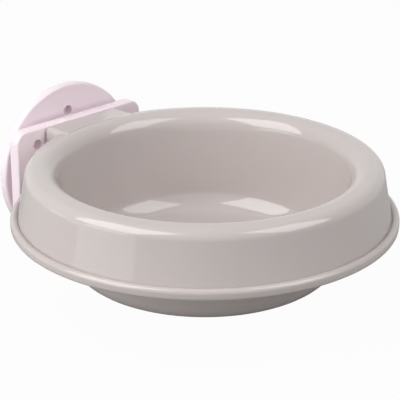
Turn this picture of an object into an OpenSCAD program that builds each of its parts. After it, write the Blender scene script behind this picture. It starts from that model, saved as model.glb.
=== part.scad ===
// Seed cup for a wire cage: a one-piece moulded cup that drops onto a hook bracket,
// and a screw clamp that holds the bracket to the cage wires.
// The origin is on the clamp screw's axis, on the plate face that bears on the wires.
// X runs across the plate, Y away from the cup and through the wires, Z up.

/* [Cup rim and skirt] */
// Outer radius of the lip, the widest part of the cup
lip_r = 60; // [56:0.5:70]
// Height of the lip's outer edge
lip_h = 3.5; // [3.4:0.1:5]
// Rounding of the lip's upper and lower edges
lip_round = 1.6; // [1:0.1:1.7]
// How far the lip stands out from the foot of the skirt
lip_ledge = 2.3; // [0.6:0.1:3]
// Height of the lip's upper edge above the clamp axis
lip_top = 1.8; // [0:0.2:4]
// Wall thickness of the moulding
wall = 2.2; // [1.6:0.1:2.3]
// Rounding between the bowl's wall and the rim
mouth_round = 5.2; // [4.5:0.1:6.2]
// Rounding between the rim and the skirt
rim_round = 2.4; // [2.4:0.1:3.2]
// Width of the rim between the centres of its two roundings
rim_w = 3.05; // [3:0.05:5]
// How much lower the outer rounding's crest is than the inner one's
rim_drop = 1.05; // [0.3:0.05:1.5]
// Lean of the skirt where it leaves the rim, in degrees
skirt_lean = 9; // [4:1:14]
// How far the skirt spreads from the rim's outer rounding to the lip
skirt_spread = 2.3; // [2:0.1:5]

/* [Cup bowl] */
// Depth of the foot below the clamp axis
base_drop = 17.8; // [14:0.2:30]
// Lean of the bowl's wall, in degrees
bowl_lean = 10.5; // [6:0.5:14]
// Rounding between the bowl's wall and its floor, inside
bowl_fillet = 8.5; // [7:0.5:11]
// Rounding at the foot of the bowl, outside
base_round = 8; // [6:0.5:9]
// Thickness of the floor
floor_t = 2.2; // [1.6:0.1:3]
// Height of the foot ring under the floor
foot_h = 0.6; // [0.4:0.1:1.2]
// Width of the foot ring
foot_w = 2.6; // [1.8:0.1:4]

/* [Cup tab] */
// Width of the tab that hangs on the hook
tab_w = 30.2; // [26:0.2:34]
// Thickness of the tab's end wall and side walls
tab_wall = 2.4; // [1.8:0.1:3]
// How far the tab's end face is cut back from the lip's radius
tab_trim = 1.75; // [1.5:0.05:3]
// Rounding of the tab's long upper edges
tab_round = 1.8; // [0.8:0.1:2.2]
// Depth of the tab's end wall below the clamp axis
tab_drop = 8; // [7:0.5:10]
// Depth of the tab's side walls, front to back, at their lower end
tab_foot = 4.2; // [3.4:0.1:5]
// Radial place of the tab's side walls under the rim, from the outer rounding's centre
tab_root = 1.7; // [1:0.1:2.5]

/* [Bracket plate] */
// Width of the plate
plate_w = 52.8; // [46:0.5:60]
// Height of the plate, whose top is flush with the rim
plate_h = 34.8; // [33:0.2:40]
// Thickness of the plate
plate_t = 4.3; // [3.8:0.1:6]
// Radius of the plate's corners
plate_corner = 4; // [2:0.5:8]
// Chamfer round the plate's faces
plate_chamfer = 0.5; // [0.2:0.1:1]
// Diameter of the small holes near the plate's corners
plate_hole_d = 3.3; // [2:0.1:4]
// Distance of the small holes from the plate's side edges
plate_hole_side = 8.3; // [6:0.1:9]
// Distance of the small holes from the plate's upper and lower edges
plate_hole_end = 5.3; // [4:0.1:7]

/* [Hook] */
// Width of the hook's tongue
hook_w = 24; // [18:0.5:24.6]
// Thickness of the tongue
hook_t = 2.6; // [2:0.1:3]
// Thickness of the shelf that carries the tab's end wall
shelf_t = 4; // [3:0.5:5]
// Rounding of the hook's lower outer edge
hook_round = 3; // [1:0.5:4]
// Chamfer that leads the tab over the tongue
hook_lead = 0.8; // [0.4:0.1:1]

/* [Clamp screw] */
// Diameter of the screw's thread
screw_d = 6; // [5:0.5:8]
// Length of the screw under its head
screw_len = 25; // [24:0.5:32]
// Width of the hexagonal head across its flats
head_flats = 11; // [9.5:0.5:13]
// Thickness of the head
head_t = 2; // [1.5:0.1:2.6]
// Chamfer at the screw's tip
tip_chamfer = 0.8; // [0.4:0.1:1.2]

/* [Clamp disc] */
// Diameter of the disc
disc_d = 54.2; // [48:0.2:60]
// Thickness of the disc
disc_t = 3.3; // [2.5:0.1:4.5]
// Rounding of the disc's edges
disc_edge = 0.8; // [0.3:0.1:1.2]
// Gap between plate and disc, where the wires go
wire_gap = 1.8; // [1.6:0.1:2.4]
// Diameter of the small holes in the disc
disc_hole_d = 3.3; // [2:0.1:4]
// Radius of the ring of small holes
disc_hole_r = 18; // [14:0.5:20]
// Number of small holes in the disc
disc_holes = 4; // [2:1:6]

/* [Wing nut] */
// Diameter of the hub at the disc
hub_d = 15; // [12:0.5:18]
// Diameter of the hub at its free end
hub_end_d = 11.5; // [10:0.5:12]
// Length of the hub
hub_len = 8.5; // [7:0.5:9]
// Distance between the tips of the two wings
wing_span = 31; // [28:1:36]
// Radius of the rounded end of a wing
wing_end_r = 3.8; // [3:0.2:4.5]
// Thickness of a wing at its root and at its end
wing_root_t = 4.4; // [3.5:0.1:6]
wing_end_t = 2.8; // [2:0.1:3.4]
// How far the wings' ends lie behind the hub's free end
wing_back = 1.2; // [0:0.2:2]
// How far the wings' roots stay clear of the hub's two ends
wing_inset = 0.8; // [0.2:0.1:1.5]

/* [Fits] */
// Gap between the tab and the plate
tab_gap = 0.45; // [0.3:0.05:0.8]
// Gap between the tab's end wall and the tongue
hook_gap = 0.4; // [0.3:0.05:0.8]
// Gap above the tongue, inside the tab
roof_gap = 0.6; // [0.4:0.1:1]
// Gap between the tab's end wall and the shelf it rests on
seat_gap = 0.1; // [0.05:0.05:0.2]
// Gap all round the screw in the plate, the disc and the nut
screw_gap = 0.1; // [0.05:0.05:0.2]
// Gap round and in front of the screw's head in its recess
head_gap = 0.1; // [0.05:0.05:0.2]
// Gap between the disc and the wing nut
nut_gap = 0.2; // [0.1:0.05:0.3]

/* [Hidden] */

$fn = 64;
// Pieces in a rounding, and in the long curve of the skirt
arc_parts = 8;
bend_parts = 6;
// How far cuts run past what they cut
overrun = 1;

grey_plastic = [0.77, 0.73, 0.71];
pink_plastic = [0.89, 0.82, 0.84];
zinc_steel = [0.72, 0.73, 0.75];

// Heights, measured from the clamp axis
rim_top = plate_h / 2;
lip_bottom = lip_top - lip_h;
base_z = -base_drop;
underfloor_z = base_z + foot_h;
floor_z = underfloor_z + floor_t;

// Centres of the rim's roundings, as [radius, height]
rim_c = [
    lip_r - lip_ledge - skirt_spread - rim_round,
    rim_top - rim_drop - rim_round
];
mouth_c = [rim_c[0] - rim_w, rim_top - mouth_round];

// The rim's top is the line that touches both roundings
rim_step = rim_c - mouth_c;
rim_slope = atan2(-rim_step[1], rim_step[0]) + asin((mouth_round - rim_round) / norm(rim_step));

// The bowl's wall is a line of constant distance along its own normal
wall_normal = [cos(bowl_lean), -sin(bowl_lean)];
inner_reach = mouth_c * wall_normal - mouth_round;
outer_reach = inner_reach + wall;

// Where a rounding of radius r, standing on height z, touches the wall at that reach
function foot_centre(reach, r, z) =
    [(reach - r + (z + r) * sin(bowl_lean)) / cos(bowl_lean), z + r];

fillet_c = foot_centre(inner_reach, bowl_fillet, floor_z);
base_c = foot_centre(outer_reach, base_round, base_z);

// The skirt leaves the rim at its own lean and bends out to its foot. A ledge that is wider than
// the lip's rounding is flat beside the foot, and a narrower one starts on the rounding.
lip_meet = acos(max(1 - lip_ledge / lip_round, 0));
lip_c = [lip_r - lip_round, lip_top - lip_round];
skirt_foot = [lip_r - lip_ledge, lip_c[1] + lip_round * sin(lip_meet)];
skirt_start = rim_c + rim_round * [cos(skirt_lean), sin(skirt_lean)];
skirt_knee = skirt_start
    + (skirt_start[1] - skirt_foot[1]) / 2 * [tan(skirt_lean), -1];

// The cup's axis, and the tab's faces as distances from it
tab_reach = lip_r - tab_trim;
cup_y = -(plate_t + tab_gap + tab_reach);
tab_inner = tab_w / 2 - tab_wall;
pocket_reach = tab_reach - tab_wall;
tab_roof = rim_top - wall;

// The hook, as distances in Y and heights
tongue_back = -(plate_t + tab_gap + tab_wall + hook_gap);
tongue_front = tongue_back - hook_t;
tongue_top = tab_roof - roof_gap;
shelf_top = -tab_drop - seat_gap;
shelf_bottom = shelf_top - shelf_t;

plate_holes = [plate_w / 2 - plate_hole_side, plate_h / 2 - plate_hole_end];

// The screw's head lies in the plate's front face
head_floor = -plate_t + head_t + head_gap;
nut_y = wire_gap + disc_t + nut_gap;
wing_c = [nut_y + hub_len + wing_back - wing_end_r, wing_span / 2 - wing_end_r];

// Points on an arc about c, and on a bend from p to q that leans towards k
function arc(c, r, from, to) =
    [for (i = [0:arc_parts]) let (a = from + (to - from) * i / arc_parts)
        c + r * [cos(a), sin(a)]];
function bend(p, k, q) =
    [for (i = [1:bend_parts]) let (t = i / bend_parts)
        (1 - t) * (1 - t) * p + 2 * t * (1 - t) * k + t * t * q];
function reversed(list) = [for (i = [len(list) - 1:-1:0]) list[i]];
function moved(list, by) = [for (p = list) p + by];

// The skirt's outer curve, and the same curve one wall further in
skirt_curve = bend(skirt_start, skirt_knee, skirt_foot);
skirt_inside = moved(concat([skirt_start], skirt_curve), [-wall, 0]);

// Half section of the cup, from the floor over the rim, down the skirt and back inside
cup_section = concat(
    [[0, floor_z]],
    arc(fillet_c, bowl_fillet, -90, -bowl_lean),
    arc(mouth_c, mouth_round, 180 - bowl_lean, 90 - rim_slope),
    arc(rim_c, rim_round, 90 - rim_slope, skirt_lean),
    skirt_curve,
    arc(lip_c, lip_round, lip_meet, 0),
    arc([lip_c[0], lip_bottom + lip_round], lip_round, 0, -90),
    [[skirt_foot[0] - wall, lip_bottom]],
    reversed(skirt_inside),
    arc(mouth_c, mouth_round - wall, 90 - rim_slope, 180 - bowl_lean),
    arc(base_c, base_round, -bowl_lean, -90),
    [
        [base_c[0] - foot_w, base_z],
        [base_c[0] - foot_w - foot_h, underfloor_z],
        [0, underfloor_z]
    ]
);

// Side view of the tab, as [distance from the cup's axis, height]
tab_side = [
    [mouth_c[0] - mouth_round, rim_top],
    [tab_reach, rim_top],
    [tab_reach, -tab_drop],
    [tab_reach - tab_foot, -tab_drop],
    [rim_c[0] - tab_root, tab_roof],
    [mouth_c[0] - mouth_round, tab_roof]
];

// The tab seen from the plate, with its rounded upper edges
tab_face = concat(
    [[-tab_w / 2, -tab_drop - overrun], [tab_w / 2, -tab_drop - overrun]],
    arc([tab_w / 2 - tab_round, rim_top - tab_round], tab_round, 0, 90),
    arc([tab_round - tab_w / 2, rim_top - tab_round], tab_round, 90, 180)
);

// Side view of the hook, as [Y, height]
hook_side = concat(
    [
        [-plate_t + plate_chamfer, shelf_bottom],
        [-plate_t + plate_chamfer, shelf_top],
        [tongue_back, shelf_top],
        [tongue_back, tongue_top - hook_lead],
        [tongue_back - hook_lead, tongue_top],
        [tongue_front + hook_lead, tongue_top],
        [tongue_front, tongue_top - hook_lead]
    ],
    arc([tongue_front + hook_round, shelf_bottom + hook_round], hook_round, 180, 270)
);

// Half section of the disc's edge band is a rounded strip, drawn about its mid-plane
module disc_section() {
    translate([0, -disc_t / 2]) square([disc_d / 2 - disc_edge, disc_t]);
    translate([0, disc_edge - disc_t / 2]) square([disc_d / 2, disc_t - 2 * disc_edge]);
    for (side = [-1, 1])
        translate([disc_d / 2 - disc_edge, side * (disc_t / 2 - disc_edge)]) circle(disc_edge);
}

// Extrudes an [X, Z] outline along Y, starting at y
module along_y(y, length) {
    translate([0, y + length, 0]) rotate([90, 0, 0]) linear_extrude(length) children();
}

// Extrudes a [Y, Z] outline across X, centred
module across_x(width) {
    translate([-width / 2, 0, 0]) rotate([90, 0, 90]) linear_extrude(width) children();
}

// Turns a [radius, Y] outline about the clamp axis
module turned(y) {
    translate([0, y, 0]) rotate([-90, 0, 0]) rotate_extrude() children();
}

module rounded_plate(w, h, corner) {
    polygon(concat(
        arc([w / 2 - corner, h / 2 - corner], corner, 0, 90),
        arc([corner - w / 2, h / 2 - corner], corner, 90, 180),
        arc([corner - w / 2, corner - h / 2], corner, 180, 270),
        arc([w / 2 - corner, corner - h / 2], corner, 270, 360)
    ));
}

// The tab's outer form, up to the crest of the rim
module tab_form() {
    difference() {
        intersection() {
            across_x(tab_w) polygon(tab_side);
            along_y(0, tab_reach) polygon(tab_face);
        }
        translate([0, 0, lip_bottom])
            cylinder(r = mouth_c[0], h = rim_top - lip_bottom + overrun);
    }
}

// The room inside the tab for the hook, open below and towards the bowl
module tab_pocket() {
    across_x(2 * tab_inner)
        translate([mouth_c[0], -tab_drop - overrun])
            square([pocket_reach - mouth_c[0], tab_roof + tab_drop + overrun]);
}

module cup() {
    color(grey_plastic)
    translate([0, cup_y, 0])
    difference() {
        union() {
            rotate_extrude() polygon(cup_section);
            tab_form();
        }
        tab_pocket();
        along_y(tab_reach, lip_r) translate([-lip_r, lip_bottom - overrun])
            square([2 * lip_r, rim_top - lip_bottom + 2 * overrun]);
    }
}

module bracket_plate() {
    color(pink_plastic)
    difference() {
        union() {
            hull() {
                along_y(-plate_t, plate_t)
                    rounded_plate(
                        plate_w - 2 * plate_chamfer,
                        plate_h - 2 * plate_chamfer,
                        plate_corner - plate_chamfer
                    );
                along_y(plate_chamfer - plate_t, plate_t - 2 * plate_chamfer)
                    rounded_plate(plate_w, plate_h, plate_corner);
            }
            across_x(hook_w) polygon(hook_side);
        }
        along_y(-plate_t - overrun, plate_t + 2 * overrun)
            circle(screw_d / 2 + screw_gap);
        along_y(-plate_t - overrun, head_floor + plate_t + overrun)
            circle((head_flats / 2 + head_gap) / cos(30), $fn = 6);
        for (sx = [-1, 1], sz = [-1, 1])
            along_y(-plate_t - overrun, plate_t + 2 * overrun)
                translate([sx * plate_holes[0], sz * plate_holes[1]])
                    circle(plate_hole_d / 2);
    }
}

module clamp_screw() {
    color(zinc_steel) {
        along_y(head_floor - head_t, head_t) circle(head_flats / 2 / cos(30), $fn = 6);
        turned(head_floor) polygon([
            [0, 0],
            [screw_d / 2, 0],
            [screw_d / 2, screw_len - tip_chamfer],
            [screw_d / 2 - tip_chamfer, screw_len],
            [0, screw_len]
        ]);
    }
}

module clamp_disc() {
    color(pink_plastic)
    difference() {
        turned(wire_gap + disc_t / 2) disc_section();
        along_y(wire_gap - overrun, disc_t + 2 * overrun) circle(screw_d / 2 + screw_gap);
        for (i = [0:disc_holes - 1])
            along_y(wire_gap - overrun, disc_t + 2 * overrun)
                rotate(90 + i * 360 / disc_holes)
                    translate([disc_hole_r, 0]) circle(disc_hole_d / 2);
    }
}

// One wing, from the hub out and back to its rounded end
module wing() {
    hull() {
        across_x(wing_end_t) translate(wing_c) circle(wing_end_r, $fn = 32);
        across_x(wing_root_t)
            translate([nut_y + wing_inset, 0])
                square([hub_len - 2 * wing_inset, hub_end_d / 2]);
    }
}

module wing_nut() {
    color(pink_plastic)
    difference() {
        union() {
            turned(nut_y) polygon([
                [0, 0],
                [hub_d / 2, 0],
                [hub_end_d / 2, hub_len],
                [0, hub_len]
            ]);
            wing();
            mirror([0, 0, 1]) wing();
        }
        along_y(nut_y - overrun, hub_len + wing_back + 2 * overrun)
            circle(screw_d / 2 + screw_gap);
    }
}

cup();
bracket_plate();
clamp_screw();
clamp_disc();
wing_nut();
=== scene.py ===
"""Looks for the seed cup on its clamp bracket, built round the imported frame.

Lengths are in millimetres in the sizes of the pieces, and in metres for the camera, the lamps and the
floor. The frame's origin is on the clamp screw's axis, Y runs away from the cup through the cage
wires, and Z is up.
"""

import math

import bmesh
import bpy
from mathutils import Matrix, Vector


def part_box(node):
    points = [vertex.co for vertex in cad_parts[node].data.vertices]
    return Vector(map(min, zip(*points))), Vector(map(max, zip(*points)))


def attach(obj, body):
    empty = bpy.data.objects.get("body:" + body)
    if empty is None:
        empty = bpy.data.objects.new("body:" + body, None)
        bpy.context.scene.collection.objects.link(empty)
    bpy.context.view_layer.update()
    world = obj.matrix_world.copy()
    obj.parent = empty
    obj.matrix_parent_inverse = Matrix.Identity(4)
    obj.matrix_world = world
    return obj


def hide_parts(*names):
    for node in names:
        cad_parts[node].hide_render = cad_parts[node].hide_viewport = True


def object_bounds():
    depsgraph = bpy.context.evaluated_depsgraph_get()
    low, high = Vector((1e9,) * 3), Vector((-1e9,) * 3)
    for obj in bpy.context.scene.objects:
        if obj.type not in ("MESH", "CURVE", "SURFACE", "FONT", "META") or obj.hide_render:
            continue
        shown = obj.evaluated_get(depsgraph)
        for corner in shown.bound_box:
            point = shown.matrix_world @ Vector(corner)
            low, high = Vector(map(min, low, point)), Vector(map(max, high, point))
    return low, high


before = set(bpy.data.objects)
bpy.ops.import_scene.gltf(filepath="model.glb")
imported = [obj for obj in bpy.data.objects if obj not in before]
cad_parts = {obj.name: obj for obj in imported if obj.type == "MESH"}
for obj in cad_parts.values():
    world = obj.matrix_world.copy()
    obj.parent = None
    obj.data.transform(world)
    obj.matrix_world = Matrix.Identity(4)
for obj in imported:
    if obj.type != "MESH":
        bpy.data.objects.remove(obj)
cad_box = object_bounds()

MM = 0.001

# Sizes read from the frame
cup_low, cup_high = (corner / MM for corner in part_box("cup"))
plate_low, plate_high = (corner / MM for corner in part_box("bracket_plate"))
disc_low, disc_high = (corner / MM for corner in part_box("clamp_disc"))
screw_low, screw_high = (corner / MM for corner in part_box("clamp_screw"))
nut_low, nut_high = (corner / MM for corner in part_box("wing_nut"))

# Cup, as [radius, height] about its own axis
LIP_R = (cup_high.x - cup_low.x) / 2
CUP_Y = cup_low.y + LIP_R
RIM_TOP = cup_high.z
BASE_Z = cup_low.z
WALL = 2.2
LIP_CREST = 1.65  # top of the raised bead along the lip
LIP_CREST_ROUND = 1.3
LIP_DIP = 50.0  # degrees by which the bead's rounding goes on into the gutter behind it
LIP_BOTTOM = -1.7
LIP_ROUND = 0.9  # lower edge of the lip
LIP_LEDGE = 2.3  # from the skirt's foot out to the edge of the lip
LIP_CREASE_Z = 1.0  # where the skirt meets the gutter
MOUTH_ROUND = 5.2  # inner rounding of the rim
RIM_ROUND = 3.6  # outer rounding of the rim
RIM_W = 1.7  # between the centres of these two roundings
RIM_DROP = 0.2  # by which the outer rounding's top is lower than the inner one's
SKIRT_LEAN = 9.0  # degrees, where the skirt leaves the rim
SKIRT_SPREAD = 2.4  # from the rim out to the skirt's foot
BOWL_LEAN = 10.5  # degrees
BOWL_FILLET = 8.5  # between the bowl's floor and its wall
BASE_ROUND = 8.0
FLOOR_T = 2.2
FOOT_H, FOOT_W = 0.6, 2.6  # ring under the base
CUP_EDGE = 0.35  # edges and inner corners of the wall

# Tab of the cup
TAB_REACH = cup_high.y - CUP_Y
TAB_HALF = 15.1  # half of its width
TAB_WALL = 2.4
TAB_ROUND = 1.8  # long edges of its top
TAB_DROP = 8.0  # its foot, under height 0
TAB_FOOT = 4.2  # depth of its side walls at the foot
TAB_SEAM = 1.3  # width of the rounded corner between tab and skirt
TAB_SEAM_SHARE = 0.45  # the most that this corner takes of a shallow step
TAB_BLEND = 0.9  # over which the tab's top runs into the rim's crown

# Bracket plate and hook
PLATE_T = 4.3
PLATE_CORNER = 4.0
PLATE_EDGE = 0.55
PLATE_HOLE_D = 3.3
PLATE_HOLES = (18.1, 12.1)  # across and up from the screw's axis
HOOK_W, HOOK_T = 24.0, 2.6
HOOK_BACK = -7.55  # face of the hook towards the plate
SHELF_TOP, SHELF_T = -8.1, 4.0
HOOK_TOP = 14.6
HOOK_ROUND, HOOK_LEAD, HOOK_EDGE = 3.0, 0.8, 0.4

# Clamp screw
SCREW_D, SCREW_PITCH = 6.0, 1.0
SCREW_FREE = 0.1  # clearance in the bores
BORE_R = SCREW_D / 2 + SCREW_FREE
THREAD_DEPTH = 0.55
THREAD_STEEP, THREAD_FLAT = 1.3, 0.15  # flanks of the thread, and the flats at its root and crest
TIP_CHAMFER = 0.8
HEAD_FLATS, HEAD_T = 11.0, 2.0
HEAD_FREE = 0.1  # clearance of the head in its recess
HEAD_FACE_INSET = 0.1125  # from the flats in to the edge of the round face
HEAD_CHAMFER_SLOPE = 30  # degrees
SHANK_SUNK = 0.3  # part of the shank that is inside the head
THREAD_SHARP = 30  # degrees past which an edge of the screw is shaded sharp

# Clamp disc
DISC_EDGE = 0.8
DISC_HOLE_D, DISC_HOLE_R, DISC_HOLES = 3.3, 18.0, 4
HOLE_EDGE = 0.25
HOLE_SKIN, SKIN_INSET = 0.6, 0.3  # thin skin that closes each hole of the disc near its back

# Wing nut
HUB_D, HUB_END_D, HUB_LEN = 15.0, 11.5, 8.5
HUB_ROUND, HUB_END_ROUND = 0.6, 1.0
HUB_TAPER = 10  # degrees
WING_END_R, WING_ROOT_T, WING_END_T = 3.8, 4.4, 2.8
WING_BACK = 1.2  # by which the wings reach past the hub
WING_INSET, WING_EDGE = 0.8, 0.8
MELT_GRID = 0.32  # cells in which the wings melt into the hub
SOFTEN_SHARE, SOFTEN_PASSES = 0.5, 8

# How finely shapes are divided and joined
RING_STEPS = 256
TURN_STEPS = 96
DISC_STEPS = 160
NUT_STEPS = 64
BORE_STEPS = 48
HOLE_STEPS = 40
THREAD_SIDES, THREAD_RINGS = 40, 301
WELD = 0.0005
CUT_MARGIN = 1.0  # by which a cutting shape reaches past what it cuts
SQUARE_EDGES = 50  # a bevel at this angle leaves the edges of arcs and of 45 degree leads alone


def srgb(red, green, blue):
    """A colour given in screen values from 0 to 255, as the linear colour that shaders use."""
    def linear(value):
        share = value / 255
        return share / 12.92 if share <= 0.04045 else ((share + 0.055) / 1.055) ** 2.4
    return (linear(red), linear(green), linear(blue), 1.0)


# Camera, floor and light

CAMERA_AZIMUTH, CAMERA_ELEVATION = -44.5, 22.4
CAMERA_DISTANCE = 0.5
CAMERA_LENS, SENSOR = 145.1, 36.0
CAMERA_SHIFT = (-0.0121, 0.0341)
TARGET = Vector((0, CUP_Y * MM, 0))


def around(azimuth, elevation, distance):
    """A point round the cup. Azimuth 0 is in front of it, on the -Y side, and 90 on the +X side."""
    a, e = math.radians(azimuth), math.radians(elevation)
    direction = Vector((math.sin(a) * math.cos(e), -math.cos(a) * math.cos(e), math.sin(e)))
    return TARGET + distance * direction


def aimed(obj, place):
    """Puts a camera or a lamp at a place and turns it to the cup."""
    obj.location = place
    obj.rotation_euler = (place - TARGET).to_track_quat("Z", "Y").to_euler()
    bpy.context.scene.collection.objects.link(obj)
    return obj


def make_camera():
    """The photograph's camera: a long lens, with the small shift of its framing."""
    data = bpy.data.cameras.new("camera")
    data.sensor_width = SENSOR
    data.lens = CAMERA_LENS
    data.shift_x, data.shift_y = CAMERA_SHIFT
    place = around(CAMERA_AZIMUTH, CAMERA_ELEVATION, CAMERA_DISTANCE)
    bpy.context.scene.camera = aimed(bpy.data.objects.new("camera", data), place)


# Each lamp's name, degrees to the right of the camera, elevation, distance, width, height, radiance
LAMPS = (
    ("left_softbox", -63.5, 44, 1.0, 0.82, 0.88, 3.85),
    ("right_softbox", 67, 45, 1.0, 0.61, 0.84, 2.9),
    ("low_left", -60, 8, 1.0, 0.50, 0.30, 1.3),
    ("left_card", -69, 2, 0.30, 0.36, 0.10, 0.8),
)


def softbox(name, turn, elevation, distance, width, height, radiance):
    """A rectangular lamp that faces the cup."""
    data = bpy.data.lights.new(name, "AREA")
    data.shape = "RECTANGLE"
    data.size, data.size_y = width, height
    data.energy = radiance * math.pi * width * height
    place = around(CAMERA_AZIMUTH + turn, elevation, distance)
    aimed(bpy.data.objects.new(name, data), place).visible_camera = False


def background_rays(nodes, links, mirrored=None):
    """A value that is 1 for the rays that see the white background. Those that a glossy or clear
    surface sends there count for less where the socket mirrored is below 1."""
    path = nodes.new("ShaderNodeLightPath")
    seen = path.outputs["Is Camera Ray"]
    for name in ("Is Glossy Ray", "Is Transmission Ray"):
        sent = path.outputs[name]
        if mirrored is not None:
            share = nodes.new("ShaderNodeMath")
            share.operation = "MULTIPLY"
            links.new(sent, share.inputs[0])
            links.new(mirrored, share.inputs[1])
            sent = share.outputs[0]
        either = nodes.new("ShaderNodeMath")
        either.operation = "MAXIMUM"
        links.new(seen, either.inputs[0])
        links.new(sent, either.inputs[1])
        seen = either.outputs[0]
    return seen


# Strength of the grey light from straight above and from the horizon
WORLD_TOP, WORLD_SIDES = 0.0, 0.50


def make_world():
    """White behind the cup, and a soft grey light, stronger from the sides than from the top."""
    world = bpy.data.worlds.new("studio")
    bpy.context.scene.world = world
    world.use_nodes = True
    nodes, links = world.node_tree.nodes, world.node_tree.links
    nodes.clear()
    output = nodes.new("ShaderNodeOutputWorld")
    mix = nodes.new("ShaderNodeMixShader")
    light = nodes.new("ShaderNodeBackground")
    white = nodes.new("ShaderNodeBackground")
    white.inputs["Color"].default_value = (1, 1, 1, 1)
    light.inputs["Color"].default_value = (1, 1, 1, 1)
    place = nodes.new("ShaderNodeTexCoord")
    split = nodes.new("ShaderNodeSeparateXYZ")
    level = nodes.new("ShaderNodeMapRange")
    level.inputs["To Min"].default_value = WORLD_SIDES
    level.inputs["To Max"].default_value = WORLD_TOP
    links.new(place.outputs["Generated"], split.inputs[0])
    links.new(split.outputs["Z"], level.inputs["Value"])
    links.new(level.outputs[0], light.inputs["Strength"])
    links.new(background_rays(nodes, links), mix.inputs[0])
    links.new(light.outputs[0], mix.inputs[1])
    links.new(white.outputs[0], mix.inputs[2])
    links.new(mix.outputs[0], output.inputs["Surface"])


# Floor, in metres, with how white it is behind the cup and its own grey. Its mirror image in the gloss
# turns from that grey to white between the two distances from the cup, as painted shade about the cup.
FLOOR_SIZE, FLOOR_DROP = 6.0, 0.002
FLOOR_WHITE, FLOOR_GREY = 0.97, 0.42
SHADE_START, SHADE_END = 0.05, 0.55


def make_floor():
    """A pale floor just under the cup. The camera sees it nearly white, with the cup's shadow on it.
    In the plastic's gloss it turns from its own shaded grey near the cup to white further out, as painted
    shade."""
    mesh = bpy.data.meshes.new("floor")
    half, z = FLOOR_SIZE / 2, cad_box[0].z - FLOOR_DROP
    corners = [(-half, -half, z), (half, -half, z), (half, half, z), (-half, half, z)]
    mesh.from_pydata(corners, [], [(0, 1, 2, 3)])
    floor = bpy.data.objects.new("floor", mesh)
    bpy.context.scene.collection.objects.link(floor)
    material = bpy.data.materials.new("studio_floor")
    material.use_nodes = True
    nodes, links = material.node_tree.nodes, material.node_tree.links
    nodes.clear()
    output = nodes.new("ShaderNodeOutputMaterial")
    diffuse = nodes.new("ShaderNodeBsdfDiffuse")
    diffuse.inputs["Color"].default_value = (FLOOR_GREY, FLOOR_GREY, FLOOR_GREY, 1)
    white = nodes.new("ShaderNodeEmission")
    share = nodes.new("ShaderNodeMath")
    share.operation = "MULTIPLY"
    share.inputs[1].default_value = FLOOR_WHITE
    mix = nodes.new("ShaderNodeMixShader")
    distance = nodes.new("ShaderNodeVectorMath")
    distance.operation = "DISTANCE"
    distance.inputs[1].default_value = TARGET
    links.new(nodes.new("ShaderNodeTexCoord").outputs["Object"], distance.inputs[0])
    # Painted shade in the gloss: the white that glossy rays see on the floor fades out towards the cup.
    painted_shade_fade = nodes.new("ShaderNodeMapRange")
    painted_shade_fade.inputs["From Min"].default_value = SHADE_START
    painted_shade_fade.inputs["From Max"].default_value = SHADE_END
    links.new(distance.outputs["Value"], painted_shade_fade.inputs["Value"])
    links.new(background_rays(nodes, links, painted_shade_fade.outputs[0]), share.inputs[0])
    links.new(share.outputs[0], mix.inputs[0])
    links.new(diffuse.outputs[0], mix.inputs[1])
    links.new(white.outputs[0], mix.inputs[2])
    below = nodes.new("ShaderNodeMixShader")
    links.new(nodes.new("ShaderNodeNewGeometry").outputs["Backfacing"], below.inputs[0])
    links.new(mix.outputs[0], below.inputs[1])
    links.new(nodes.new("ShaderNodeBsdfTransparent").outputs[0], below.inputs[2])
    links.new(below.outputs[0], output.inputs["Surface"])
    mesh.materials.append(material)


def make_studio():
    """White surroundings, two large softboxes, and a lower lamp and a card at the left."""
    bpy.context.scene.view_settings.view_transform = "Standard"
    make_world()
    make_floor()
    for lamp in LAMPS:
        softbox(*lamp)


# Materials

# Moulded plastic: scales are in noise cells to the metre, and spans are the noise's levels in use
PLASTIC_IOR = 1.58
FLOW_SCALE, FLOW_DETAIL, FLOW_BEND, FLOW_SPAN = 28, 3, 0.6, (0.35, 0.65)
PATCH_SCALE, PATCH_DETAIL, PATCH_SPAN = 160, 4, (0.3, 0.7)
PATCH_ROUGHNESS = (0.88, 1.15)
SKIN_SCALE, SKIN_DETAIL, SKIN_DEPTH = 1400, 2, 0.02


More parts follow.
